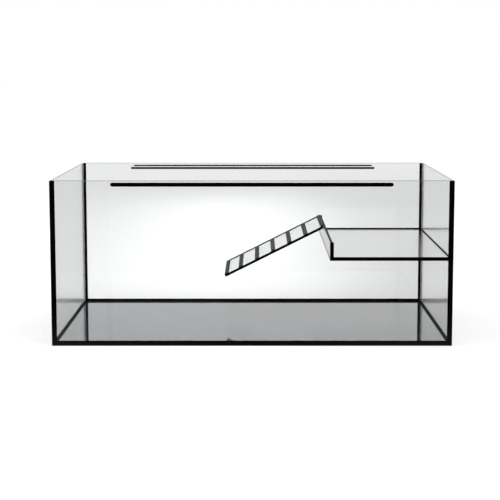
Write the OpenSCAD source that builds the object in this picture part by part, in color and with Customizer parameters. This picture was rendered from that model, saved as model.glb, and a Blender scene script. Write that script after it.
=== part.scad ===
// Hamster cage: an open glass tank bonded with black silicone, with a shelf,
// a lip on the shelf's free edge and a glass ladder that leads up to it.
// Origin: middle of the footprint, on the surface that the tank stands on.
// +X to the right, +Y to the back, +Z up. All sizes in millimetres.

/* [Tank] */
// Outside length, left to right
tank_length = 1000; // [900:10:1400]
// Outside depth, front to back
tank_depth = 500; // [400:10:700]
// Outside height
tank_height = 415; // [350:5:600]
// Thickness of the wall, base, shelf and brace glass
glass = 6; // [5:1:8]
// Width of the ground bevel along every glass edge
arris = 0.5; // [0.2:0.1:1]

/* [Silicone] */
// Thickness of the glue line between two panes
glue_line = 1; // [0.5:0.1:2]
// Width of the bead inside the tank's corners
corner_bead = 6.5; // [3:0.5:8]
// Width of the bead around the shelf and its lip
shelf_bead = 3.5; // [1.5:0.1:5]
// Width of the bead along the braces, kept off the face that a cover lies on
brace_bead = 1.5; // [1:0.1:1.5]
// Width of the bead along the back of the ladder
ladder_bead = 2; // [1:0.1:3]
// Height of the strips that cover the ladder's and the lip's free edges
edge_bead = 0.8; // [0.5:0.1:2]

/* [Braces] */
// Length of each brace
brace_length = 700; // [400:10:850]
// Width of each brace, front to back
brace_width = 50; // [30:1:80]
// Distance from the tank's rim down to a brace's top face
brace_drop = 7; // [5:1:30]

/* [Shelf] */
// Distance from the right wall to the shelf's free edge
shelf_reach = 300; // [200:10:400]
// Height of the shelf's underside above the ground
shelf_height = 214.5; // [180:0.5:260]
// Height of the lip pane on the shelf's free edge
lip_height = 40; // [25:1:60]

/* [Ladder] */
// Length of the ladder glass along its slope
ladder_length = 300; // [260:1:340]
// Width of the ladder glass, front to back
ladder_width = 200; // [120:5:260]
// Thickness of the ladder glass
ladder_glass = 6; // [4:0.5:8]
// Slope of the ladder
ladder_slope = 26.7; // [20:0.1:35]
// Distance from the lip's top down to the middle of the ladder's upper end
ladder_drop = 6.3; // [4:0.1:12]
// Pitch of the rungs along the slope, from the ladder's upper end
rung_pitch = 50; // [42:0.5:52]
// Width of a rung along the slope
rung_width = 13; // [6:0.5:16]
// Height of a rung above the glass
rung_height = 2.4; // [1.5:0.1:4]

/* [Hidden] */
$fn = 64;
glass_colour = [0.80, 0.88, 0.87, 0.35];
base_colour = [0.45, 0.48, 0.51, 0.8];
silicone_colour = [0.05, 0.05, 0.06];
rung_colour = [0.13, 0.15, 0.17];

// Inner faces of the walls, and the reach of panes that are glued between them
inner_x = tank_length / 2 - glass;
inner_y = tank_depth / 2 - glass;
pane_x = inner_x - glue_line;
pane_y = inner_y - glue_line;

brace_z = tank_height - brace_drop - glass;
brace_y = pane_y - brace_width / 2;

shelf_x = inner_x - shelf_reach;
shelf_top = shelf_height + glass;
lip_z = shelf_top + glue_line;
lip_top = lip_z + lip_height;

// Thickness of a corner bead where it runs out onto the glass
bead_tip = 0.15;
// Clear gap between the ladder's lower glass corner and the lip
ladder_gap = 0.4;
// Middle of the ladder glass at its upper end, in the XZ plane
ladder_end = [
    shelf_x - ladder_gap - ladder_glass / 2 * sin(ladder_slope),
    lip_top - ladder_drop
];
// Front edge of the ladder, and where the bead along its back edge begins
ladder_y = pane_y - ladder_width;
ladder_back = inner_y - ladder_bead;
// Height of the silicone cap where the ladder meets the lip's top edge
cap_height = 1.6;
// How far the cap reaches down the ladder, along the slope
cap_reach = 4.5;
// Step, to the right and up, of the cap's lower end
cap_step = 1.4;
// Number of rungs
rung_count = 6;
// Amount by which a cutting box runs past what it cuts
spare = 1;

// ---- Shared shapes ----

// Rectangle about the origin with its corners cut off at 45 degrees
module bevelled_rectangle(w, h) {
    polygon([
        [-w / 2 + arris, -h / 2], [w / 2 - arris, -h / 2],
        [w / 2, -h / 2 + arris], [w / 2, h / 2 - arris],
        [w / 2 - arris, h / 2], [-w / 2 + arris, h / 2],
        [-w / 2, h / 2 - arris], [-w / 2, -h / 2 + arris]
    ]);
}

// Glass plate about the origin, with a ground bevel on all twelve edges
module plate(size) {
    intersection() {
        linear_extrude(size[2], center = true)
            bevelled_rectangle(size[0], size[1]);
        rotate([90, 0, 0])
            linear_extrude(size[1], center = true)
                bevelled_rectangle(size[0], size[2]);
        rotate([90, 0, 90])
            linear_extrude(size[0], center = true)
                bevelled_rectangle(size[1], size[2]);
    }
}

// Glass plate between two opposite corners
module plate_between(low, high) {
    translate((low + high) / 2)
        plate(high - low);
}

// Section of a hollow-faced bead in the corner between +x and +y
module bead_section(w) {
    hollow = 1.5 * w;
    difference() {
        square(w);
        translate([hollow, hollow])
            circle(r = norm([hollow - w, hollow - bead_tip]));
    }
}

// Section of a flat-bottomed strip about x = 0, with a domed top
module dome_section(w, h) {
    radius = (w * w / 4 + h * h) / (2 * h);
    intersection() {
        translate([0, h - radius])
            circle(r = radius);
        translate([-w / 2, 0])
            square([w, h]);
    }
}

// Section of a butt joint. The wall's face is x = 0. A pane of thickness t
// starts one glue line away from it and lies between y = 0 and y = t.
module butt_section(t, above, below = 0) {
    square([glue_line, t]);
    translate([0, t])
        bead_section(above);
    if (below > 0)
        mirror([0, 1])
            bead_section(below);
}

// Sections laid along X (x to Y, y to Z) and along Z (x to Y, y to X)
module along_x(length) {
    rotate([90, 0, 90])
        linear_extrude(length)
            children();
}
module along_z(length) {
    mirror([1, -1, 0])
        linear_extrude(length)
            children();
}

// Places its children in the ladder's own frame: origin at the middle of the
// upper end, +X up the slope, +Z out of the glass
module on_ladder() {
    translate([ladder_end[0], 0, ladder_end[1]])
        rotate([0, -ladder_slope, 0])
            children();
}

// ---- Glass ----

module wall_pane(side) {
    color(glass_colour)
        plate_between(
            [-tank_length / 2, side * (inner_y + glass / 2) - glass / 2, 0],
            [tank_length / 2, side * (inner_y + glass / 2) + glass / 2, tank_height]
        );
}

module end_pane(side) {
    color(glass_colour)
        plate_between(
            [side * (inner_x + glass / 2) - glass / 2, -pane_y, 0],
            [side * (inner_x + glass / 2) + glass / 2, pane_y, tank_height]
        );
}

module bottom_pane() {
    color(base_colour)
        plate_between([-pane_x, -pane_y, 0], [pane_x, pane_y, glass]);
}

module brace(side) {
    color(glass_colour)
        translate([0, side * brace_y, brace_z + glass / 2])
            plate([brace_length, brace_width, glass]);
}

module shelf_pane() {
    color(glass_colour)
        plate_between([shelf_x, -pane_y, shelf_height], [pane_x, pane_y, shelf_top]);
}

module shelf_lip() {
    color(glass_colour)
        plate_between([shelf_x, -pane_y, lip_z], [shelf_x + glass, pane_y, lip_top]);
}

module ladder_pane() {
    color(glass_colour)
        on_ladder()
            translate([-ladder_length / 2, ladder_y + ladder_width / 2, 0])
                plate([ladder_length, ladder_width, ladder_glass]);
}

// ---- Silicone of the tank ----

// Mirrors its children from the front left corner to any other
module to_corner(x_side, y_side) {
    mirror([x_side > 0 ? 1 : 0, 0, 0])
        mirror([0, y_side > 0 ? 1 : 0, 0])
            children();
}

// The bead alone, standing on the base in the front left corner
module corner_bead_solid() {
    translate([-inner_x, -inner_y, glass])
        along_z(tank_height - glass)
            bead_section(corner_bead);
}

module corner_seam(x_side, y_side) {
    color(silicone_colour)
        difference() {
            to_corner(x_side, y_side) {
                translate([-tank_length / 2, -inner_y, 0])
                    along_z(tank_height)
                        square([glue_line, glass]);
                corner_bead_solid();
            }
            if (x_side > 0)
                shelf_cut();
        }
}

// The shelf's envelope, which the right corner beads are cut for
module shelf_cut() {
    translate([shelf_x, -pane_y, shelf_height])
        cube([pane_x - shelf_x, 2 * pane_y, glass]);
}

// Bead and glue line between the base and the front wall, before the corners
// are cut for the upright beads
module long_floor_bead() {
    translate([-inner_x, -inner_y, 0])
        along_x(2 * inner_x)
            butt_section(glass, corner_bead);
}

module floor_seam_long(y_side) {
    color(silicone_colour)
        difference() {
            to_corner(-1, y_side)
                long_floor_bead();
            for (x_side = [-1, 1])
                to_corner(x_side, y_side)
                    corner_bead_solid();
        }
}

module floor_seam_short(x_side) {
    color(silicone_colour)
        difference() {
            to_corner(x_side, -1)
                translate([-inner_x, -inner_y, 0])
                    rotate([90, 0, 0])
                        mirror([0, 0, 1])
                            linear_extrude(2 * inner_y)
                                butt_section(glass, corner_bead);
            for (y_side = [-1, 1]) {
                to_corner(x_side, y_side)
                    corner_bead_solid();
                to_corner(-1, y_side)
                    long_floor_bead();
            }
        }
}

module brace_seam(y_side) {
    color(silicone_colour)
        to_corner(-1, y_side)
            translate([-brace_length / 2, -inner_y, brace_z])
                along_x(brace_length)
                    butt_section(glass, brace_bead, brace_bead);
}

// ---- Silicone of the shelf ----

module shelf_seam_long(y_side) {
    color(silicone_colour)
        difference() {
            to_corner(-1, y_side)
                translate([shelf_x, -inner_y, shelf_height])
                    along_x(shelf_reach)
                        butt_section(glass, shelf_bead);
            to_corner(1, y_side)
                corner_bead_solid();
            shelf_right_bead();
            translate([shelf_x - spare, -tank_depth / 2, shelf_top])
                cube([glass + spare, tank_depth, lip_height]);
        }
}

// Bead and glue line between the shelf and the right wall
module shelf_right_bead() {
    mirror([1, 0, 0])
        translate([-inner_x, -pane_y, shelf_height])
            rotate([90, 0, 0])
                mirror([0, 0, 1])
                    linear_extrude(2 * pane_y)
                        butt_section(glass, shelf_bead);
}

module shelf_seam_right() {
    color(silicone_colour)
        difference() {
            shelf_right_bead();
            for (y_side = [-1, 1])
                to_corner(1, y_side)
                    corner_bead_solid();
        }
}

// Clear glue line that the lip stands on
module lip_seam_bottom() {
    color(glass_colour)
        translate([shelf_x, -pane_y, shelf_top])
            cube([glass, 2 * pane_y, glue_line]);
}

module lip_seam_end(y_side) {
    color(silicone_colour)
        difference() {
            to_corner(-1, y_side)
                translate([shelf_x, -inner_y, shelf_top])
                    along_z(lip_top - shelf_top)
                        butt_section(glass, shelf_bead);
            shelf_seam_long(y_side);
        }
}

// ---- Silicone of the ladder ----

module ladder_seam_back() {
    color(silicone_colour)
        on_ladder()
            mirror([0, 1, 0])
                translate([-ladder_length, -inner_y, -ladder_glass / 2])
                    along_x(ladder_length)
                        butt_section(ladder_glass, ladder_bead);
}

// Point in the XZ plane that lies along the slope from the ladder's upper end
// and out of the glass by the given distances
function ladder_point(along, out) = [
    ladder_end[0] + along * cos(ladder_slope) - out * sin(ladder_slope),
    ladder_end[1] + along * sin(ladder_slope) + out * cos(ladder_slope)
];

// Fills the wedge between the ladder's end and the lip, and caps the lip's edge
module ladder_seam_top() {
    low = ladder_point(0, -ladder_glass / 2);
    high = ladder_point(0, ladder_glass / 2);
    toe = ladder_point(-cap_reach, ladder_glass / 2);
    color(silicone_colour)
        translate([0, ladder_back, 0])
            rotate([90, 0, 0])
                linear_extrude(ladder_back - ladder_y)
                    polygon([
                        low, [shelf_x, low[1]], [shelf_x, lip_top],
                        [shelf_x + glass, lip_top],
                        [shelf_x + glass, lip_top + cap_height / 2],
                        [shelf_x + glass - cap_height, lip_top + cap_height],
                        [shelf_x, lip_top + cap_height],
                        toe + [cap_step, cap_step], toe, high
                    ]);
}

// Strip of silicone across the ladder. The lowest lies along the glass's lower
// edge, the others at whole pitches from the upper end.
module rung(number) {
    along = number == 1
        ? -ladder_length + rung_width / 2
        : -(rung_count + 1 - number) * rung_pitch;
    color(rung_colour)
        on_ladder()
            translate([along, ladder_back, ladder_glass / 2])
                rotate([90, 0, 0])
                    linear_extrude(ladder_back - ladder_y)
                        dome_section(rung_width, rung_height);
}

// Strip of silicone that covers the ladder's front edge
module ladder_edge_bead() {
    color(silicone_colour)
        on_ladder()
            translate([-ladder_length, ladder_y, 0])
                rotate([90, 0, 90])
                    linear_extrude(ladder_length)
                        rotate(90)
                            dome_section(ladder_glass, edge_bead);
}

// Strip of silicone that covers the lip's top edge, up to the ladder's cap
module lip_edge_bead() {
    color(rung_colour)
        translate([shelf_x + glass / 2, ladder_y, lip_top])
            rotate([90, 0, 0])
                linear_extrude(ladder_y + pane_y)
                    dome_section(glass, edge_bead);
}

wall_pane(-1);  // front_pane
wall_pane(1);  // back_pane
end_pane(-1);  // left_pane
end_pane(1);  // right_pane
bottom_pane();
brace(-1);  // front_brace
brace(1);  // back_brace
shelf_pane();
shelf_lip();
ladder_pane();
corner_seam(-1, -1);  // corner_seam_front_left
corner_seam(1, -1);  // corner_seam_front_right
corner_seam(-1, 1);  // corner_seam_back_left
corner_seam(1, 1);  // corner_seam_back_right
floor_seam_long(-1);  // floor_seam_front
floor_seam_long(1);  // floor_seam_back
floor_seam_short(-1);  // floor_seam_left
floor_seam_short(1);  // floor_seam_right
brace_seam(-1);  // brace_seam_front
brace_seam(1);  // brace_seam_back
shelf_seam_long(-1);  // shelf_seam_front
shelf_seam_long(1);  // shelf_seam_back
shelf_seam_right();
lip_seam_bottom();
lip_seam_end(-1);  // lip_seam_front
lip_seam_end(1);  // lip_seam_back
ladder_seam_back();
ladder_seam_top();
ladder_edge_bead();
lip_edge_bead();
rung(1);  // ladder_rung_1
rung(2);  // ladder_rung_2
rung(3);  // ladder_rung_3
rung(4);  // ladder_rung_4
rung(5);  // ladder_rung_5
rung(6);  // ladder_rung_6
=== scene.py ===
import math
import bmesh
import bpy
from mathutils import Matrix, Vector


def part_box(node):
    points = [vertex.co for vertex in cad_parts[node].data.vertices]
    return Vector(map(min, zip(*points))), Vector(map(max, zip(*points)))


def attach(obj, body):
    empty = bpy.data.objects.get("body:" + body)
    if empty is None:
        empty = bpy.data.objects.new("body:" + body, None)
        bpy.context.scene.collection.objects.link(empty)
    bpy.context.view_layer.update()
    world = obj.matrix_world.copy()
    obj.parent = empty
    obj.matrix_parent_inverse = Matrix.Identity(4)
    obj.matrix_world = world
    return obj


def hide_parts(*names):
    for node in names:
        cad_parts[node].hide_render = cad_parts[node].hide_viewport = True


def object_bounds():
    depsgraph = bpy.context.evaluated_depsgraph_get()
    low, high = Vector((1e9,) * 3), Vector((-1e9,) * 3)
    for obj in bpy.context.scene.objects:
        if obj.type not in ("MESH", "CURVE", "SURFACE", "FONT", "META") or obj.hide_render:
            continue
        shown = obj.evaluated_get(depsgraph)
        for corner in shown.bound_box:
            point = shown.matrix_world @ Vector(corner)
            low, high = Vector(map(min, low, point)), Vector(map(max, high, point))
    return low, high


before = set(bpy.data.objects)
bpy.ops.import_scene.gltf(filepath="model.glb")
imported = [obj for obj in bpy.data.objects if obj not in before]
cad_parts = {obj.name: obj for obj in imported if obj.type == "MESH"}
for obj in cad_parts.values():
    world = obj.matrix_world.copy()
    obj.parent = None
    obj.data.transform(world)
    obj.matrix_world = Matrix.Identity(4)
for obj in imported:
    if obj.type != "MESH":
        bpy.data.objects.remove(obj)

cadLow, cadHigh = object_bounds()
millimetre = 0.001
right, back, up = Vector((1, 0, 0)), Vector((0, 1, 0)), Vector((0, 0, 1))
print("frame loaded with", len(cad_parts), "nodes")


class Wire:
    # a node's output, which can stand in a sum
    def __init__(self, board, socket):
        self.board, self.socket = board, socket

    def maths(self, operation, *values):
        return self.board.add("ShaderNodeMath", {"operation": operation}, dict(enumerate(values)))

    def __add__(self, other):
        return self.maths("ADD", self, other)

    def __radd__(self, other):
        return self.maths("ADD", other, self)

    def __sub__(self, other):
        return self.maths("SUBTRACT", self, other)

    def __rsub__(self, other):
        return self.maths("SUBTRACT", other, self)

    def __mul__(self, other):
        return self.maths("MULTIPLY", self, other)

    def __rmul__(self, other):
        return self.maths("MULTIPLY", other, self)

    def __truediv__(self, other):
        return self.maths("DIVIDE", self, other)

    def __mod__(self, other):
        return self.maths("FLOORED_MODULO", self, other)

    def __gt__(self, other):
        return self.maths("GREATER_THAN", self, other)

    def __lt__(self, other):
        return self.maths("LESS_THAN", self, other)

    def turned(self, operation):
        return self.maths(operation, self)

    def held(self):
        return self.board.add("ShaderNodeClamp", sockets={0: self})

    def split(self):
        node = self.board.add("ShaderNodeSeparateXYZ", sockets={0: self}).socket.node
        return [Wire(self.board, socket) for socket in node.outputs]

    def scaled(self, factor):
        return self.board.add("ShaderNodeVectorMath", {"operation": "SCALE"}, {0: self, "Scale": factor})

    def plus(self, other):
        return self.board.add("ShaderNodeVectorMath", {"operation": "ADD"}, {0: self, 1: other})


class Board:
    # a node tree, with one way to add any node to it
    def __init__(self, tree):
        self.tree = tree

    def add(self, kind, settings=None, sockets=None, output=0):
        node = self.tree.nodes.new(kind)
        for name, value in (settings or {}).items():
            setattr(node, name, value)
        for name, value in (sockets or {}).items():
            if isinstance(value, Wire):
                self.tree.links.new(value.socket, node.inputs[name])
            else:
                node.inputs[name].default_value = value
        return Wire(self, node.outputs[output]) if node.outputs else None

    def noise(self, place, scale, detail=2.0, roughness=0.5):
        return self.add("ShaderNodeTexNoise", sockets={
            "Vector": place, "Scale": scale, "Detail": detail, "Roughness": roughness})

    def ranged(self, value, least, most, newLeast=0.0, newMost=1.0):
        return self.add("ShaderNodeMapRange", {"interpolation_type": "SMOOTHSTEP"}, {
            "Value": value, "From Min": least, "From Max": most, "To Min": newLeast, "To Max": newMost})

    def blended(self, share, first, second):
        return self.add("ShaderNodeMix", {"data_type": "RGBA"}, {0: share, 6: first, 7: second}, 2)


def shade(red, green, blue):
    return (red, green, blue, 1.0)


cameraLook = {
    "place": (0.0138, -2.8591, 0.6916),
    "pitchDown": 5.578,
    "lens": 76.72,
    "shift": (-0.015, -0.156),
    "sensor": 36,
    "farthest": 100,
}


def makeCamera(look):
    lens = bpy.data.cameras.new("camera")
    lens.lens, lens.sensor_width = look["lens"], look["sensor"]
    lens.shift_x, lens.shift_y = look["shift"]
    lens.clip_end = look["farthest"]
    camera = bpy.data.objects.new("camera", lens)
    camera.location = look["place"]
    camera.rotation_euler = (math.radians(90 - look["pitchDown"]), 0, 0)
    bpy.context.scene.collection.objects.link(camera)
    bpy.context.scene.camera = camera


makeCamera(cameraLook)

floorLook = {
    "halfSize": 40.0,
    "gap": 0.6 * millimetre,  # under the tank, so that no faces coincide
    "paint": shade(0.35, 0.35, 0.35),
    "glow": 0.68,
    "roughness": 0.9,
    "mirroredNear": 0.5,  # distance from the tank's middle within which the mirrored change is softer
    "shadow": 0.30,  # share of the glow lost behind the tank's right half, as seen through its glass
    "shadowAcross": (0.05, 0.55),  # where along the length that begins and ends
    "shadowBack": (0.4, 5.0),  # where along the depth it fades again
}

skyLook = {
    "plain": 1.0,  # what the eye sees, glass passes on and matt surfaces are lit by
    "mirroredAbove": 1.10,  # how bright gloss sees it high up
    "mirroredRise": (0.0, 0.14),  # height of the direction at which that begins and ends
}

horizonLook = {
    "mirrored": (0.02, 1.0),  # how bright gloss sees the horizon and the floor, in front and behind
    "mirroredTurn": (-0.5, 0.5),  # the backward part of the direction where that begins and ends
}

stripLook = {  # a long low lamp that brightens the floor behind the tank
    "place": (-0.14, 1.1, 0.65),
    "size": (0.3, 3.4),
    "power": 22.0,
    "mirrored": False,
}

topLook = {
    "place": (0.0, 0.1, 2.6),
    "size": (2.2, 2.2),
    "power": 5.0,
    "mirrored": True,
}


def startMaterial(name):
    material = bpy.data.materials.new(name)
    material.use_nodes = True
    board = Board(material.node_tree)
    board.tree.nodes.clear()
    place = board.add("ShaderNodeTexCoord", output="Object")
    return material, board, place


def seenInGloss(board):
    # 1 where light has met a mirroring surface on its way
    return board.add("ShaderNodeLightPath", output="Glossy Depth") > 0.5


def mirroredHorizon(board, backward):
    return board.ranged(backward, *horizonLook["mirroredTurn"], *horizonLook["mirrored"])


def makeFloor(look):
    half, ground = look["halfSize"], cadLow.z - look["gap"]
    mesh = bpy.data.meshes.new("floor")
    corners = [(-half, -half, ground), (half, -half, ground), (half, half, ground), (-half, half, ground)]
    mesh.from_pydata(corners, [], [(0, 1, 2, 3)])
    floor = bpy.data.objects.new("floor", mesh)
    bpy.context.scene.collection.objects.link(floor)
    paint, board, place = startMaterial("floorPaint")
    across, along, _ = place.split()
    shadow = board.ranged(across, *look["shadowAcross"]) * (1 - board.ranged(along, *look["shadowBack"]))
    throughGlass = board.add("ShaderNodeLightPath", output="Transmission Depth") > 0.5
    plain = board.add("ShaderNodeBsdfPrincipled", sockets={
        "Base Color": look["paint"],
        "Roughness": look["roughness"],
        "Specular IOR Level": 0.0,
        "Emission Color": 1 - shadow * throughGlass * look["shadow"],
        "Emission Strength": look["glow"],
    })
    distance = board.add("ShaderNodeVectorMath", {"operation": "LENGTH"}, {0: place}, "Value")
    mirrored = mirroredHorizon(board, along / (distance + look["mirroredNear"]))
    card = board.add("ShaderNodeEmission", sockets={"Color": shade(1, 1, 1), "Strength": mirrored})
    shader = board.add("ShaderNodeMixShader", sockets={0: seenInGloss(board), 1: plain, 2: card})
    board.add("ShaderNodeOutputMaterial", sockets={"Surface": shader})
    mesh.materials.append(paint)


def makeSky(look):
    world = bpy.data.worlds.new("studio")
    bpy.context.scene.world = world
    world.use_nodes = True
    board = Board(world.node_tree)
    board.tree.nodes.clear()
    _, backward, height = board.add("ShaderNodeTexCoord").split()
    horizon, rise = mirroredHorizon(board, backward), board.ranged(height, *look["mirroredRise"])
    mirrored = horizon + (look["mirroredAbove"] - horizon) * rise
    inGloss = seenInGloss(board)
    level = inGloss * mirrored + (1 - inGloss) * look["plain"]
    sky = board.add("ShaderNodeBackground", sockets={"Color": shade(1, 1, 1), "Strength": level})
    board.add("ShaderNodeOutputWorld", sockets={"Surface": sky})


def makeLamp(name, look):
    lamp = bpy.data.lights.new(name, "AREA")
    lamp.shape = "RECTANGLE"
    lamp.size, lamp.size_y = look["size"]
    lamp.energy = look["power"]
    holder = bpy.data.objects.new(name, lamp)
    holder.location = look["place"]
    holder.visible_camera = holder.visible_transmission = False
    holder.visible_glossy = look["mirrored"]
    bpy.context.scene.collection.objects.link(holder)


makeFloor(floorLook)
makeSky(skyLook)
makeLamp("backStrip", stripLook)
makeLamp("topLamp", topLook)
bpy.context.scene.view_settings.view_transform = "Standard"
bpy.context.scene.cycles.max_bounces = 24
bpy.context.scene.cycles.transmission_bounces = 24
bpy.context.scene.cycles.glossy_bounces = 8
print("camera, floor and light made")

clearGlassLook = {
    "ior": 1.52,
    "tint": shade(0.36, 0.39, 0.385),  # colour that the glass turns as it gets thick
    "density": 27.0,
    "smudge": 0.035,  # roughness of the smudges
    "patchScale": 5.0,
    "patchRange": (0.52, 0.74),  # noise levels between which a smudge fades in
    "streakScale": 46.0,
    "gritScale": 1400.0,  # grain of the ground edges
    "gritDepth": 0.1 * millimetre,
    "gritBump": 0.35,
    "faceLimit": 0.9,  # surfaces that turn further from the pane's faces count as ground edges
    "coat": 0.0,  # a second mirroring skin, which hides more of what lies behind at a low angle
    "coatRoughness": 0.03,
    "groundRoughness": 0.50,
    "groundTint": shade(0.025, 0.030, 0.030),
}
# The panes are one glass: the back pane's higher density is painted shade on all that is seen through it,
# and the front pane's lower density is painted light that brightens it again
frontGlassPaintedLightLook = {**clearGlassLook, "density": 14.0}
backGlassPaintedShadeLook = {**clearGlassLook, "density": 40.0}
endGlassLook = {**clearGlassLook, "coat": 1.0, "coatRoughness": 0.22}
ladderGlassLook = {**clearGlassLook, "density": 10.0}
shelfGlassLook = {
    **clearGlassLook,
    "coat": 1.0,
    "coatRoughness": 0.28,
    "groundTint": shade(0.34, 0.37, 0.37),
}
lipGlassLook = {**shelfGlassLook, "density": 8.0}


def groundEdge(board, across):
    # 1 on the ground edges and bevels of a pane whose faces look along the given direction
    normal = board.add("ShaderNodeNewGeometry", output="True Normal")
    facing = board.add("ShaderNodeVectorMath", {"operation": "DOT_PRODUCT"}, {0: normal, 1: across},
                       "Value")
    return facing.turned("ABSOLUTE") < clearGlassLook["faceLimit"]


def makeClearGlass(name, across, look):
    material, board, place = startMaterial(name)
    ground = groundEdge(board, across)
    patches = board.ranged(board.noise(place, look["patchScale"], 3.0), *look["patchRange"])
    streaks = board.noise(place, look["streakScale"], 3.0, 0.6)
    grit = board.noise(place, look["gritScale"], 2.0)
    smudge = patches * streaks * look["smudge"]
    frost = (0.75 + 0.5 * grit) * look["groundRoughness"]
    bump = board.add("ShaderNodeBump", sockets={
        "Height": grit * ground, "Strength": look["gritBump"], "Distance": look["gritDepth"]})
    shader = board.add("ShaderNodeBsdfPrincipled", sockets={
        "Base Color": board.blended(ground, shade(1, 1, 1), look["groundTint"]),
        "Roughness": ground * frost + (1 - ground) * smudge,
        "IOR": look["ior"],
        "Transmission Weight": 1.0,
        "Coat Weight": look["coat"],
        "Coat Roughness": look["coatRoughness"],
        "Normal": bump,
    })
    depth = board.add("ShaderNodeVolumeAbsorption", sockets={
        "Color": look["tint"], "Density": look["density"]})
    board.add("ShaderNodeOutputMaterial", sockets={"Surface": shader, "Volume": depth})
    return material


baseGlassLook = {
    "deep": shade(0.030, 0.034, 0.044),
    "dusty": shade(0.058, 0.062, 0.070),
    "roughness": (0.015, 0.07),
    "ior": 1.52,
    "coat": 0.9,
    "coatRoughness": 0.02,
    "patchScale": 4.0,
    "patchRange": (0.45, 0.80),
    "speckScale": 900.0,
    "speckRange": (0.66, 0.74),
    "waveScale": 3.0,
    "waveDepth": 2.0 * millimetre,
    "waveBump": 0.04,
}


def makeBaseGlass(name, look):
    material, board, place = startMaterial(name)
    patches = board.ranged(board.noise(place, look["patchScale"], 4.0, 0.6), *look["patchRange"])
    specks = board.ranged(board.noise(place, look["speckScale"], 1.0), *look["speckRange"])
    dust = (0.35 * patches + 0.4 * specks * patches).held()
    least, most = look["roughness"]
    bump = board.add("ShaderNodeBump", sockets={
        "Height": board.noise(place, look["waveScale"], 1.0),
        "Strength": look["waveBump"],
        "Distance": look["waveDepth"],
    })
    shader = board.add("ShaderNodeBsdfPrincipled", sockets={
        "Base Color": board.blended(dust, look["deep"], look["dusty"]),
        "Roughness": least + patches * (most - least),
        "IOR": look["ior"],
        "Coat Weight": look["coat"],
        "Coat Roughness": look["coatRoughness"],
        "Normal": bump,
    })
    board.add("ShaderNodeOutputMaterial", sockets={"Surface": shader})
    return material


skinLook = {  # what the dark silicones have in common
    "ior": 1.42,
    "rippleScale": 110.0,
    "rippleDepth": 1.2 * millimetre,
    "grainScale": 2600.0,
    "patchScale": 24.0,
    "dustAndToplightFacing": (0.25, 0.95),  # how far up a surface looks where dust begins and fully settles, and on the lit copy the painted light from above with it
    "dustAndToplightPatches": (0.35, 0.70),
}

blackSiliconeLook = {
    "colour": shade(0.0005, 0.0005, 0.0006),
    "dust": shade(0.013, 0.015, 0.017),
    "dustAndToplightShare": 0.15,
    "roughness": (0.36, 0.50),
    "sheen": 0.03,
    "ripple": 0.05,
}

# A lit copy of the black silicone, for the rungs, cap and lip strip that face up: its slate colour and the
# lighter dust on its upward faces are painted light from above
paintedToplitSiliconeLook = {
    "colour": shade(0.0140, 0.0220, 0.0260),
    "dust": shade(0.040, 0.052, 0.058),
    "dustAndToplightShare": 0.45,
    "roughness": (0.40, 0.55),
    "sheen": 0.03,
    "ripple": 0.08,
}


def makeSilicone(name, look):
    # tooled and cured silicone: a satin skin with soft ripples, fine grain and a little dust on top; on
    # the lit copy the lighter colour and lighter top are painted light from above
    material, board, place = startMaterial(name)
    ripples = board.noise(place, skinLook["rippleScale"], 3.0, 0.55)
    grain = board.noise(place, skinLook["grainScale"], 1.0)
    patches = board.noise(place, skinLook["patchScale"], 4.0, 0.6)
    facing = board.add("ShaderNodeNewGeometry", output="Normal").split()[2]
    # Upward faces take the lighter share: dust on the black silicone, dust and painted light from above on
    # the lit copy
    upward = board.ranged(facing, *skinLook["dustAndToplightFacing"])
    dustAndToplight = upward * board.ranged(patches, *skinLook["dustAndToplightPatches"])
    least, most = look["roughness"]
    bump = board.add("ShaderNodeBump", sockets={
        "Height": 0.8 * ripples + 0.2 * grain,
        "Strength": look["ripple"],
        "Distance": skinLook["rippleDepth"],
    })
    shader = board.add("ShaderNodeBsdfPrincipled", sockets={
        "Base Color": board.blended(dustAndToplight * look["dustAndToplightShare"], look["colour"], look["dust"]),
        "Roughness": least + (most - least) * patches,
        "IOR": skinLook["ior"],
        "Specular IOR Level": look["sheen"],
        "Normal": bump,
    })
    board.add("ShaderNodeOutputMaterial", sockets={"Surface": shader})
    return material


clearSiliconeLook = {
    "colour": shade(0.62, 0.65, 0.65),
    "cloudy": shade(0.42, 0.45, 0.46),
    "roughness": (0.22, 0.45),
    "ior": 1.41,
    "cloudScale": 90.0,
    "bubbleScale": 700.0,
    "bubbleRange": (0.62, 0.70),
    "ripple": 0.15,
    "rippleDepth": 0.8 * millimetre,
}


def makeClearSilicone(name, look):
    # cloudy, see-through silicone with small trapped bubbles
    material, board, place = startMaterial(name)
    clouds = board.noise(place, look["cloudScale"], 3.0, 0.6)
    bubbles = board.ranged(board.noise(place, look["bubbleScale"], 1.0), *look["bubbleRange"])
    trapped = 0.6 * clouds + 0.4 * bubbles
    least, most = look["roughness"]
    bump = board.add("ShaderNodeBump", sockets={
        "Height": trapped, "Strength": look["ripple"], "Distance": look["rippleDepth"]})
    shader = board.add("ShaderNodeBsdfPrincipled", sockets={
        "Base Color": board.blended(trapped.held(), look["colour"], look["cloudy"]),
        "Roughness": least + (most - least) * clouds,
        "IOR": look["ior"],
        "Transmission Weight": 1.0,
        "Normal": bump,
    })
    board.add("ShaderNodeOutputMaterial", sockets={"Surface": shader})
    return material


clearSilicone = makeClearSilicone("clearSilicone", clearSiliconeLook)
blackSilicone = makeSilicone("blackSilicone", blackSiliconeLook)
paintedToplitSilicone = makeSilicone("paintedToplitSilicone", paintedToplitSiliconeLook)


def low(node):
    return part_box(node)[0]


def high(node):
    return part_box(node)[1]


def spread(node, way):
    # where a node begins and ends along a direction
    reach = [vertex.co.dot(way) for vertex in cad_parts[node].data.vertices]
    return min(reach), max(reach)


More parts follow.
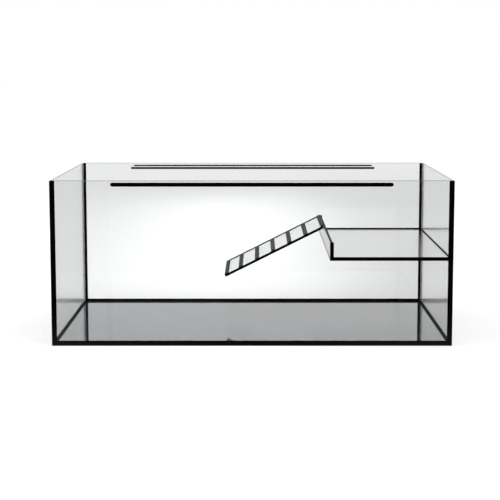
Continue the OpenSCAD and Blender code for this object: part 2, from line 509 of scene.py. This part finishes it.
# The lowest rung and the evenly spaced row above it. The row's step gives the way up the ladder's
# slope, and with it the way out of its glass.
rungNames = sorted(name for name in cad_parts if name.startswith("ladder_rung_"))
lowestRung, rungRow = rungNames[0], rungNames[1:]
rungStep = (low(rungRow[-1]) - low(rungRow[0])) / (len(rungRow) - 1)
slope = rungStep.normalized()
outward = Vector((-slope.z, 0, slope.x))

# The clear panes, by the direction that their two faces look in
clearPanes = {
    "frontGlass": (back, frontGlassPaintedLightLook, ["front_pane"]),
    "backGlass": (back, backGlassPaintedShadeLook, ["back_pane"]),
    "endGlass": (right, endGlassLook, ["left_pane", "right_pane"]),
    "lipGlass": (right, lipGlassLook, ["shelf_lip"]),
    "braceGlass": (up, clearGlassLook, ["front_brace", "back_brace"]),
    "shelfGlass": (up, shelfGlassLook, ["shelf_pane"]),
    "ladderGlass": (outward, ladderGlassLook, ["ladder_pane"]),
}


def finishPanes():
    for name, (across, look, panes) in clearPanes.items():
        material = makeClearGlass(name, across, look)
        for pane in panes:
            setFinish(pane, material)
    setFinish("bottom_pane", makeBaseGlass("baseGlass", baseGlassLook))


def setFinish(name, material):
    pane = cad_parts[name]
    for slot in pane.material_slots:
        slot.material = material
    if not pane.material_slots:
        pane.data.materials.append(material)


finishPanes()
print("panes finished")


def openTree(name, inputs):
    tree = bpy.data.node_groups.new(name, "GeometryNodeTree")
    tree.interface.new_socket("Geometry", in_out="INPUT", socket_type="NodeSocketGeometry")
    for label, kind in inputs.items():
        tree.interface.new_socket(label, in_out="INPUT", socket_type="NodeSocket" + kind)
    tree.interface.new_socket("Geometry", in_out="OUTPUT", socket_type="NodeSocketGeometry")
    board = Board(tree)
    start = tree.nodes.new("NodeGroupInput")
    return board, {socket.name: Wire(board, socket) for socket in start.outputs if socket.name}


def closeTree(board, shape, material):
    shape = board.add("GeometryNodeRealizeInstances", sockets={"Geometry": shape})
    shape = board.add("GeometryNodeSetMaterial", sockets={"Geometry": shape, "Material": material})
    board.add("NodeGroupOutput", sockets={"Geometry": shape})
    return board.tree


runLook = {
    "bite": 0.12 * millimetre,  # how far silicone reaches into the glass, so that no faces coincide
    "recess": 0.15 * millimetre,  # how far a glue line lies back from the pane's outer face
    "hollow": 0.16,  # depth of a bead's hollow face, as a share of its width
    "arcSteps": 9,  # steps across a bead's face
    "domeSteps": 14,  # steps across a strip's dome
    "domeFullness": 0.7,  # below 1 the dome has fuller shoulders than an ellipse
    "rowLength": 5.0 * millimetre,
    "leastRows": 12,
    "endRows": 4,  # rows over which an end rounds off
    "swellLength": 45.0 * millimetre,
    "swellAcross": 3.1,  # how fast the swelling changes across the section
    "swell": 0.05,
    "heartHeight": 0.9,  # where a floor or shelf line closes at its ends, as a share of the glass
    "weld": 0.004 * millimetre,
    "sharpAngle": 50.0,  # steeper edges than this are shaded sharp
}

runInputs = {
    "Start": "Vector", "End": "Vector", "Across": "Vector", "Up": "Vector",
    "Heart": "Vector", "End Length": "Float", "End Rows": "Int", "Rows": "Int",
    "Swell": "Float", "Swell Length": "Float", "Seed": "Float", "Material": "Material",
}


def makeRunTree():
    # Sweeps a section from Start to End. The section is a ring of points with x across, y up
    # and z the share of the swelling that a point takes. Both ends close towards Heart.
    board, given = openTree("siliconeRun", runInputs)
    corners = board.add("GeometryNodeAttributeDomainSize", sockets={"Geometry": given["Geometry"]})
    sheet = board.add("GeometryNodeMeshGrid", sockets={
        "Size X": 1.0, "Size Y": 1.0, "Vertices X": given["Rows"], "Vertices Y": corners + 1})
    along, around, _ = board.add("GeometryNodeInputPosition").split()
    row = ((along + 0.5) * (given["Rows"] - 1)).turned("ROUND")
    column = ((around + 0.5) * corners).turned("ROUND") % corners
    point = board.add("GeometryNodeSampleIndex", {"data_type": "FLOAT_VECTOR"}, {
        "Geometry": given["Geometry"],
        "Value": board.add("GeometryNodeInputPosition"),
        "Index": column + 0.1,  # a little more, so that it never rounds down to the point before
    })
    x, y, share = point.split()
    heartX, heartY, _ = given["Heart"].split()

    path = given["End"].plus(given["Start"].scaled(-1.0))
    length = board.add("ShaderNodeVectorMath", {"operation": "LENGTH"}, {0: path}, "Value")
    way = board.add("ShaderNodeVectorMath", {"operation": "NORMALIZE"}, {0: path})
    endRows, cap = given["End Rows"], given["End Length"]
    opening = (row / endRows).held() * (math.pi / 2)
    middle = ((row - endRows) / (given["Rows"] - 1 - 2 * endRows)).held()
    closing = ((row - (given["Rows"] - 1 - endRows)) / endRows).held() * (math.pi / 2)
    distance = cap * (1 - opening.turned("COSINE")) + middle * (length - 2 * cap)
    distance = distance + cap * closing.turned("SINE")
    size = opening.turned("SINE") * closing.turned("COSINE")

    wave = board.add("ShaderNodeTexNoise", {"noise_dimensions": "2D"}, {
        "Vector": board.add("ShaderNodeCombineXYZ", sockets={
            0: distance / given["Swell Length"] + given["Seed"],
            1: share * runLook["swellAcross"] + given["Seed"],
        }),
        "Scale": 1.0,
        "Detail": 2.0,
    })
    swell = 1 + share * (wave - 0.5) * 2 * given["Swell"]
    x = heartX + (x * swell - heartX) * size
    y = heartY + ((y - heartY) * swell) * size
    place = given["Start"].plus(way.scaled(distance))
    place = place.plus(given["Across"].scaled(x)).plus(given["Up"].scaled(y))
    run = board.add("GeometryNodeSetPosition", sockets={"Geometry": sheet, "Position": place})
    run = board.add("GeometryNodeMergeByDistance", sockets={
        "Geometry": run, "Distance": runLook["weld"]})
    return closeTree(board, run, given["Material"])


runTree = makeRunTree()


def plainRing(points):
    mesh = bpy.data.meshes.new("ring")
    count = len(points)
    mesh.from_pydata(points, [(number, (number + 1) % count) for number in range(count)], [])
    return mesh


def grow(base, tree, values):
    # lets a node tree make its shape on a base mesh, and gives the result as a plain mesh
    maker = bpy.data.objects.new("maker", base)
    bpy.context.scene.collection.objects.link(maker)
    modifier = maker.modifiers.new("shape", "NODES")
    modifier.node_group = tree
    for socket in tree.interface.items_tree:
        if socket.item_type == "SOCKET" and socket.in_out == "INPUT" and socket.name in values:
            modifier[socket.identifier] = values[socket.name]
    seen = maker.evaluated_get(bpy.context.evaluated_depsgraph_get())
    mesh = bpy.data.meshes.new_from_object(seen)
    maker.modifiers.remove(modifier)
    bpy.data.objects.remove(maker)
    return mesh


def addPiece(name, meshes, nodes, material):
    # joins meshes into one piece that stands for the given nodes
    whole = bmesh.new()
    for mesh in meshes:
        whole.from_mesh(mesh)
    bmesh.ops.recalc_face_normals(whole, faces=whole.faces)
    for face in whole.faces:
        face.smooth, face.material_index = True, 0
    mesh = bpy.data.meshes.new(name)
    whole.to_mesh(mesh)
    whole.free()
    mesh.materials.append(material)
    mesh.set_sharp_from_angle(angle=math.radians(runLook["sharpAngle"]))
    piece = bpy.data.objects.new(name, mesh)
    bpy.context.scene.collection.objects.link(piece)
    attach(piece, "root")
    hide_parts(*nodes)


def addSeam(name, meshes, node):
    addPiece(name, meshes, [node], blackSilicone)


def bow(first, bend, last, steps):
    # points on a curve from first to last, drawn towards bend
    for step in range(steps + 1):
        t = step / steps
        yield tuple(a * (1 - t) ** 2 + 2 * b * t * (1 - t) + c * t * t
                    for a, b, c in zip(first, bend, last))


def buttSection(pane, glue, above=0.0, below=0.0):
    # A glue line between a wall at x = 0 and a pane from y = 0 to y = pane, with hollow beads.
    # Points on the glass take no swelling, those on a bead's face all of it.
    bite, steps = runLook["bite"], runLook["arcSteps"]
    points = []
    if above > 0:
        bend = runLook["hollow"] * above
        points += bow((-bite, pane + above, 1), (bend, pane + bend, 1), (above, pane - bite, 1), steps)
    else:
        points.append((-bite, pane - runLook["recess"], 0))
    points.append((glue + bite, pane - (bite if above > 0 else runLook["recess"]), 0))
    if below > 0:
        bend = runLook["hollow"] * below
        points.append((glue + bite, bite, 0))
        points += bow((below, bite, 1), (bend, -bend, 1), (-bite, -below, 1), steps)
    else:
        points.append((glue + bite, runLook["recess"], 0))
        points.append((-bite, runLook["recess"], 0))
    return points


def beadSection(pane, width):
    # the hollow-faced bead alone, in the corner between the wall and the pane's face
    bite = runLook["bite"]
    bend = runLook["hollow"] * width
    points = list(bow((-bite, pane + width, 1), (bend, pane + bend, 1), (width, pane - bite, 1),
                      runLook["arcSteps"]))
    points.append((-bite, pane - bite, 0))
    return points


def domeSection(width, height):
    # a strip about x = 0 with a domed top, that bites into the glass below y = 0
    bite, steps = runLook["bite"], runLook["domeSteps"]
    points = [(width / 2, -bite, 0), (-width / 2, -bite, 0)]
    for step in range(steps + 1):
        angle = math.pi * (1 - step / steps)
        rise = math.sin(angle) ** runLook["domeFullness"]
        points.append((width / 2 * math.cos(angle), height * rise, 1))
    return points


def siliconeRun(section, start, end, across, upward, heart, material, seed, endLength=0.0, swell=None):
    length = (end - start).length
    rows = max(runLook["leastRows"], round(length / runLook["rowLength"])) + 2 * runLook["endRows"]
    return grow(plainRing(section), runTree, {
        "Start": start, "End": end, "Across": across, "Up": upward, "Heart": (heart[0], heart[1], 0.0),
        "End Length": endLength, "End Rows": runLook["endRows"], "Rows": rows,
        "Swell": runLook["swell"] if swell is None else swell,
        "Swell Length": runLook["swellLength"], "Seed": float(seed), "Material": material,
    })


# Inner faces of the walls, and the glue line between a wall and what is bonded to it
innerX = {-1: high("left_pane").x, 1: low("right_pane").x}
innerY = {-1: high("front_pane").y, 1: low("back_pane").y}
endNames = {-1: "left", 1: "right"}
wallNames = {-1: "front", 1: "back"}
glass = high("bottom_pane").z
rim = high("left_pane").z
glueLine = low("bottom_pane").x - innerX[-1]
glueHeart = (glueLine / 2, glass * runLook["heartHeight"])


# Each run has a seed of its own, so that no two swell alike. Runs that come in pairs or fours use
# numbers about the one given.
cornerLook = {"seed": 20}


def makeCorners(look):
    width = high("corner_seam_front_left").x - innerX[-1]
    for sideX, endName in endNames.items():
        for sideY, wallName in wallNames.items():
            node = "corner_seam_" + wallName + "_" + endName
            seed = look["seed"] + 3 * sideX + 7 * sideY
            foot = Vector((innerX[sideX] + sideX * glass, innerY[sideY], 0))
            across, inward = -sideY * back, -sideX * right
            line = siliconeRun(buttSection(glass, glueLine), foot, foot + rim * up, across, inward,
                               (glueLine / 2, glass / 2), blackSilicone, seed)
            bead = siliconeRun(beadSection(glass, width), foot + (glass - runLook["bite"]) * up,
                               foot + rim * up, across, inward, (0, glass), blackSilicone, seed + 1)
            addSeam("corner_bead_" + wallName + "_" + endName, [line, bead], node)


floorSeamLook = {"wallSeed": 40, "endSeed": 50}


def makeFloorSeams(look):
    width = high("floor_seam_left").x - innerX[-1]
    for side, name in wallNames.items():
        node = "floor_seam_" + name
        start = Vector((innerX[-1], innerY[side], 0))
        end = Vector((innerX[1], innerY[side], 0))
        run = siliconeRun(buttSection(glass, glueLine, width), start, end, -side * back, up, glueHeart,
                          blackSilicone, look["wallSeed"] + side)
        addSeam("floor_bead_" + name, [run], node)
    for side, name in endNames.items():
        node = "floor_seam_" + name
        start = Vector((innerX[side], innerY[-1], 0))
        end = Vector((innerX[side], innerY[1], 0))
        run = siliconeRun(buttSection(glass, glueLine, width), start, end, -side * right, up, glueHeart,
                          blackSilicone, look["endSeed"] + side)
        addSeam("floor_bead_" + name, [run], node)


braceLook = {
    "bead": 2.0 * millimetre,
    "end": 6.0 * millimetre,  # length over which a bead's ends round off
    "seed": 60,
}


def makeBraceSeams(look):
    for side, name in wallNames.items():
        node, brace = "brace_seam_" + name, name + "_brace"
        under, width = low(brace).z, look["bead"]
        thick = high(brace).z - under
        start = Vector((low(brace).x, innerY[side], under))
        end = Vector((high(brace).x, innerY[side], under))
        run = siliconeRun(buttSection(thick, glueLine, width, width), start, end, -side * back, up,
                          (glueLine / 2, thick / 2), blackSilicone, look["seed"] + side, look["end"])
        addSeam("brace_bead_" + name, [run], node)


shelfLook = {"lineSeed": 70, "beadSeed": 73, "rightSeed": 76, "lipLineSeed": 80, "lipBeadSeed": 83}


def makeShelfSeams(look):
    under, top = low("shelf_pane").z, high("shelf_pane").z
    thick = top - under
    lipInside = high("shelf_lip").x
    edge = low("shelf_pane").x
    width = innerX[1] - low("shelf_seam_right").x
    heart = (glueLine / 2, thick * runLook["heartHeight"])
    for side, name in wallNames.items():
        node = "shelf_seam_" + name
        wall = innerY[side]
        line = siliconeRun(buttSection(thick, glueLine), Vector((edge, wall, under)),
                           Vector((innerX[1], wall, under)), -side * back, up,
                           (glueLine / 2, thick / 2), blackSilicone, look["lineSeed"] + side, glueLine)
        bead = siliconeRun(beadSection(thick, width), Vector((lipInside, wall, under)),
                           Vector((innerX[1], wall, under)), -side * back, up,
                           (0, thick), blackSilicone, look["beadSeed"] + side)
        addSeam("shelf_bead_" + name, [line, bead], node)
    start = Vector((innerX[1], low("shelf_pane").y, under))
    end = Vector((innerX[1], high("shelf_pane").y, under))
    run = siliconeRun(buttSection(thick, glueLine, width), start, end, -right, up,
                      heart, blackSilicone, look["rightSeed"])
    addSeam("shelf_bead_right", [run], "shelf_seam_right")

    lip = low("shelf_lip")
    lipTop = high("shelf_lip").z
    start, end = Vector((edge, lip.y, top)), Vector((edge, high("shelf_lip").y, top))
    run = siliconeRun(buttSection(thick, glueLine), start, end, up, right,
                      (glueLine / 2, thick / 2), clearSilicone, look["lipLineSeed"])
    addPiece("lip_line_bottom", [run], ["lip_seam_bottom"], clearSilicone)
    for side, name in wallNames.items():
        start = Vector((edge, innerY[side], top - runLook["bite"]))
        end = Vector((edge, innerY[side], lipTop))
        run = siliconeRun(buttSection(thick, glueLine, width), start, end, -side * back, right,
                          heart, blackSilicone, look["lipBeadSeed"] + side, width / 2)
        addSeam("lip_bead_" + name, [run], "lip_seam_" + name)


makeCorners(cornerLook)
makeFloorSeams(floorSeamLook)
makeBraceSeams(braceLook)
makeShelfSeams(shelfLook)
print("tank and shelf silicone made")


def makeRungTree():
    # repeats one run along a slope, each a little out of place and uneven
    board, given = openTree("rungRow", {**runInputs, "Step": "Vector", "Count": "Int", "Drift": "Float",
                                        "Unevenness": "Float"})
    passed = ["Geometry", *runInputs]
    rung = board.add("GeometryNodeGroup", {"node_tree": runTree}, {name: given[name] for name in passed})
    spots = board.add("GeometryNodeMeshLine", {"mode": "OFFSET"}, {
        "Count": given["Count"], "Start Location": (0, 0, 0), "Offset": given["Step"]})
    drift = board.add("FunctionNodeRandomValue", {"data_type": "FLOAT"}, {
        2: given["Drift"] * -1, 3: given["Drift"], "Seed": ladderLook["driftSeed"]}, 1)
    way = board.add("ShaderNodeVectorMath", {"operation": "NORMALIZE"}, {0: given["Step"]})
    spots = board.add("GeometryNodeSetPosition", sockets={
        "Geometry": spots, "Offset": way.scaled(drift)})
    rungs = board.add("GeometryNodeInstanceOnPoints", sockets={"Points": spots, "Instance": rung})
    rungs = board.add("GeometryNodeRealizeInstances", sockets={"Geometry": rungs})
    place = board.add("GeometryNodeInputPosition")
    bulge = (board.noise(place, ladderLook["bulgeScale"], 2.0) - 0.5) * 2 * given["Unevenness"]
    lean = (board.noise(place, ladderLook["leanScale"], 1.0) - 0.5) * 2 * given["Unevenness"]
    offset = given["Up"].scaled(bulge).plus(way.scaled(lean))
    rungs = board.add("GeometryNodeSetPosition", sockets={"Geometry": rungs, "Offset": offset})
    return closeTree(board, rungs, given["Material"])


ladderLook = {
    "rungHeight": 2.3 * millimetre,
    "rungEnd": 3.0 * millimetre,  # length over which a rung's ends round off
    "rungEndRows": 6,
    "rungRows": 60,
    "rungSwell": 0.05,
    "rungSwellLength": 30.0 * millimetre,
    "rungHeart": 0.3,  # where a rung's ends close, as a share of its height
    "rungSeed": 3.0,
    "rungDrift": 0.3 * millimetre,
    "driftSeed": 5,
    "rungUnevenness": 0.12 * millimetre,
    "bulgeScale": 55.0,
    "leanScale": 28.0,
    "capHeight": 1.5 * millimetre,
    "capReach": 4.4 * millimetre,
    "capFillet": 1.2 * millimetre,  # how far the wedge's lower end runs down the lip
    "filletHollow": 0.3 * millimetre,
    "capStep": 0.05 * millimetre,  # where the cap's inner end leaves the lip's top edge
    "toeReach": 1.5 * millimetre,  # how far the cap keeps its height towards its toe
    "capHeart": (-1.0 * millimetre, -1.0 * millimetre),  # where the cap's ends close
    "capEnd": 2.0 * millimetre,
    "capSwell": 0.03,
    "stripRound": 1.5 * millimetre,
    "stripLap": 0.45 * millimetre,  # how far the ladder's strip laps over the glass's edges
    "seamSeed": 90,
    "capSeed": 93,
    "ladderStripSeed": 96,
    "lipStripSeed": 97,
}

ladderStart, ladderTop = spread("ladder_pane", slope)
ladderUnder, ladderFace = spread("ladder_pane", outward)
ladderFront = low("ladder_pane").y
lipEdge, lipInside, lipTop = low("shelf_lip").x, high("shelf_lip").x, high("shelf_lip").z


def onLadder(along, out, y):
    return slope * along + outward * out + back * y


def rungMesh(look, tree, name, count, drift):
    # as many rungs as counted, from the named one upwards
    first, last = spread(name, slope)
    front, rear = low(name).y, high(name).y
    ring = plainRing(domeSection(last - first, look["rungHeight"]))
    return grow(ring, tree, {
        "Start": onLadder((first + last) / 2, ladderFace, front),
        "End": onLadder((first + last) / 2, ladderFace, rear),
        "Across": slope, "Up": outward, "Heart": (0.0, look["rungHeight"] * look["rungHeart"], 0.0),
        "End Length": look["rungEnd"], "End Rows": look["rungEndRows"], "Rows": look["rungRows"],
        "Swell": look["rungSwell"], "Swell Length": look["rungSwellLength"], "Seed": look["rungSeed"],
        "Material": paintedToplitSilicone, "Step": rungStep, "Count": count, "Drift": drift,
        "Unevenness": look["rungUnevenness"],
    })


def makeRungs(look):
    tree = makeRungTree()
    lowest = rungMesh(look, tree, lowestRung, 1, 0.0)
    others = rungMesh(look, tree, rungRow[0], len(rungRow), look["rungDrift"])
    addPiece("ladder_rungs", [lowest, others], rungNames, paintedToplitSilicone)


def capSection(look):
    # Section of the cap, across and up from the lip's outer top corner: it fills the wedge between
    # the ladder's end and the lip, and rolls over the lip's top edge.
    bite = runLook["bite"]
    corner = Vector((lipEdge, 0, lipTop))

    def seenFrom(along, out):
        place = onLadder(along, out, 0) - corner
        return place.x, place.z

    thick = lipInside - lipEdge
    tall, toe = look["capHeight"], seenFrom(ladderTop - look["capReach"], ladderFace)
    lowEnd = seenFrom(ladderTop - bite, ladderUnder)
    fillet = (bite, lowEnd[1] - look["capFillet"], 0)
    points = list(bow((*lowEnd, 0), (-look["filletHollow"], lowEnd[1], 1), fillet, 5))
    points += [(bite, -bite, 0), (thick, -bite, 0)]
    points += bow((thick, look["capStep"], 0), (thick, tall, 1), (thick * 0.45, tall, 1), 6)
    points += bow((thick * 0.15, tall, 1), (toe[0] + look["toeReach"], tall, 1), (*toe, 0), 10)
    points += [(*seenFrom(ladderTop - look["capReach"], ladderFace - bite), 0)]
    points += [(*seenFrom(ladderTop - bite, ladderFace - bite), 0)]
    return points


def makeLadderSilicone(look):
    thick = ladderFace - ladderUnder
    width = innerY[1] - high("ladder_pane").y
    rear = high("ladder_seam_top").y
    bead = innerY[1] - low("ladder_seam_back").y
    seam = siliconeRun(buttSection(thick, width, bead), onLadder(ladderStart, ladderUnder, innerY[1]),
                       onLadder(ladderTop, ladderUnder, innerY[1]), -back, outward,
                       (width / 2, thick * runLook["heartHeight"]), blackSilicone,
                       look["seamSeed"], width)
    addSeam("ladder_bead_back", [seam], "ladder_seam_back")

    corner = Vector((lipEdge, 0, lipTop))
    cap = siliconeRun(capSection(look), corner + back * ladderFront, corner + back * rear, right, up,
                      look["capHeart"], paintedToplitSilicone, look["capSeed"], look["capEnd"], look["capSwell"])
    addPiece("ladder_cap", [cap], ["ladder_seam_top"], paintedToplitSilicone)

    strip = ladderFront - low("ladder_edge_bead").y
    middle = (ladderFace + ladderUnder) / 2
    edge = siliconeRun(domeSection(thick + 2 * look["stripLap"], strip),
                       onLadder(ladderStart, middle, ladderFront),
                       onLadder(ladderTop, middle, ladderFront), outward, -back, (0, 0),
                       blackSilicone, look["ladderStripSeed"], look["stripRound"])
    addSeam("ladder_edge_strip", [edge], "ladder_edge_bead")

    strip = high("lip_edge_bead").z - lipTop
    middle = (lipEdge + lipInside) / 2
    edge = siliconeRun(domeSection(lipInside - lipEdge, strip),
                       Vector((middle, low("shelf_lip").y, lipTop)), Vector((middle, ladderFront, lipTop)),
                       right, up, (0, 0), paintedToplitSilicone, look["lipStripSeed"], look["stripRound"])
    addPiece("lip_edge_strip", [edge], ["lip_edge_bead"], paintedToplitSilicone)


makeRungs(ladderLook)
makeLadderSilicone(ladderLook)
print("ladder silicone made")
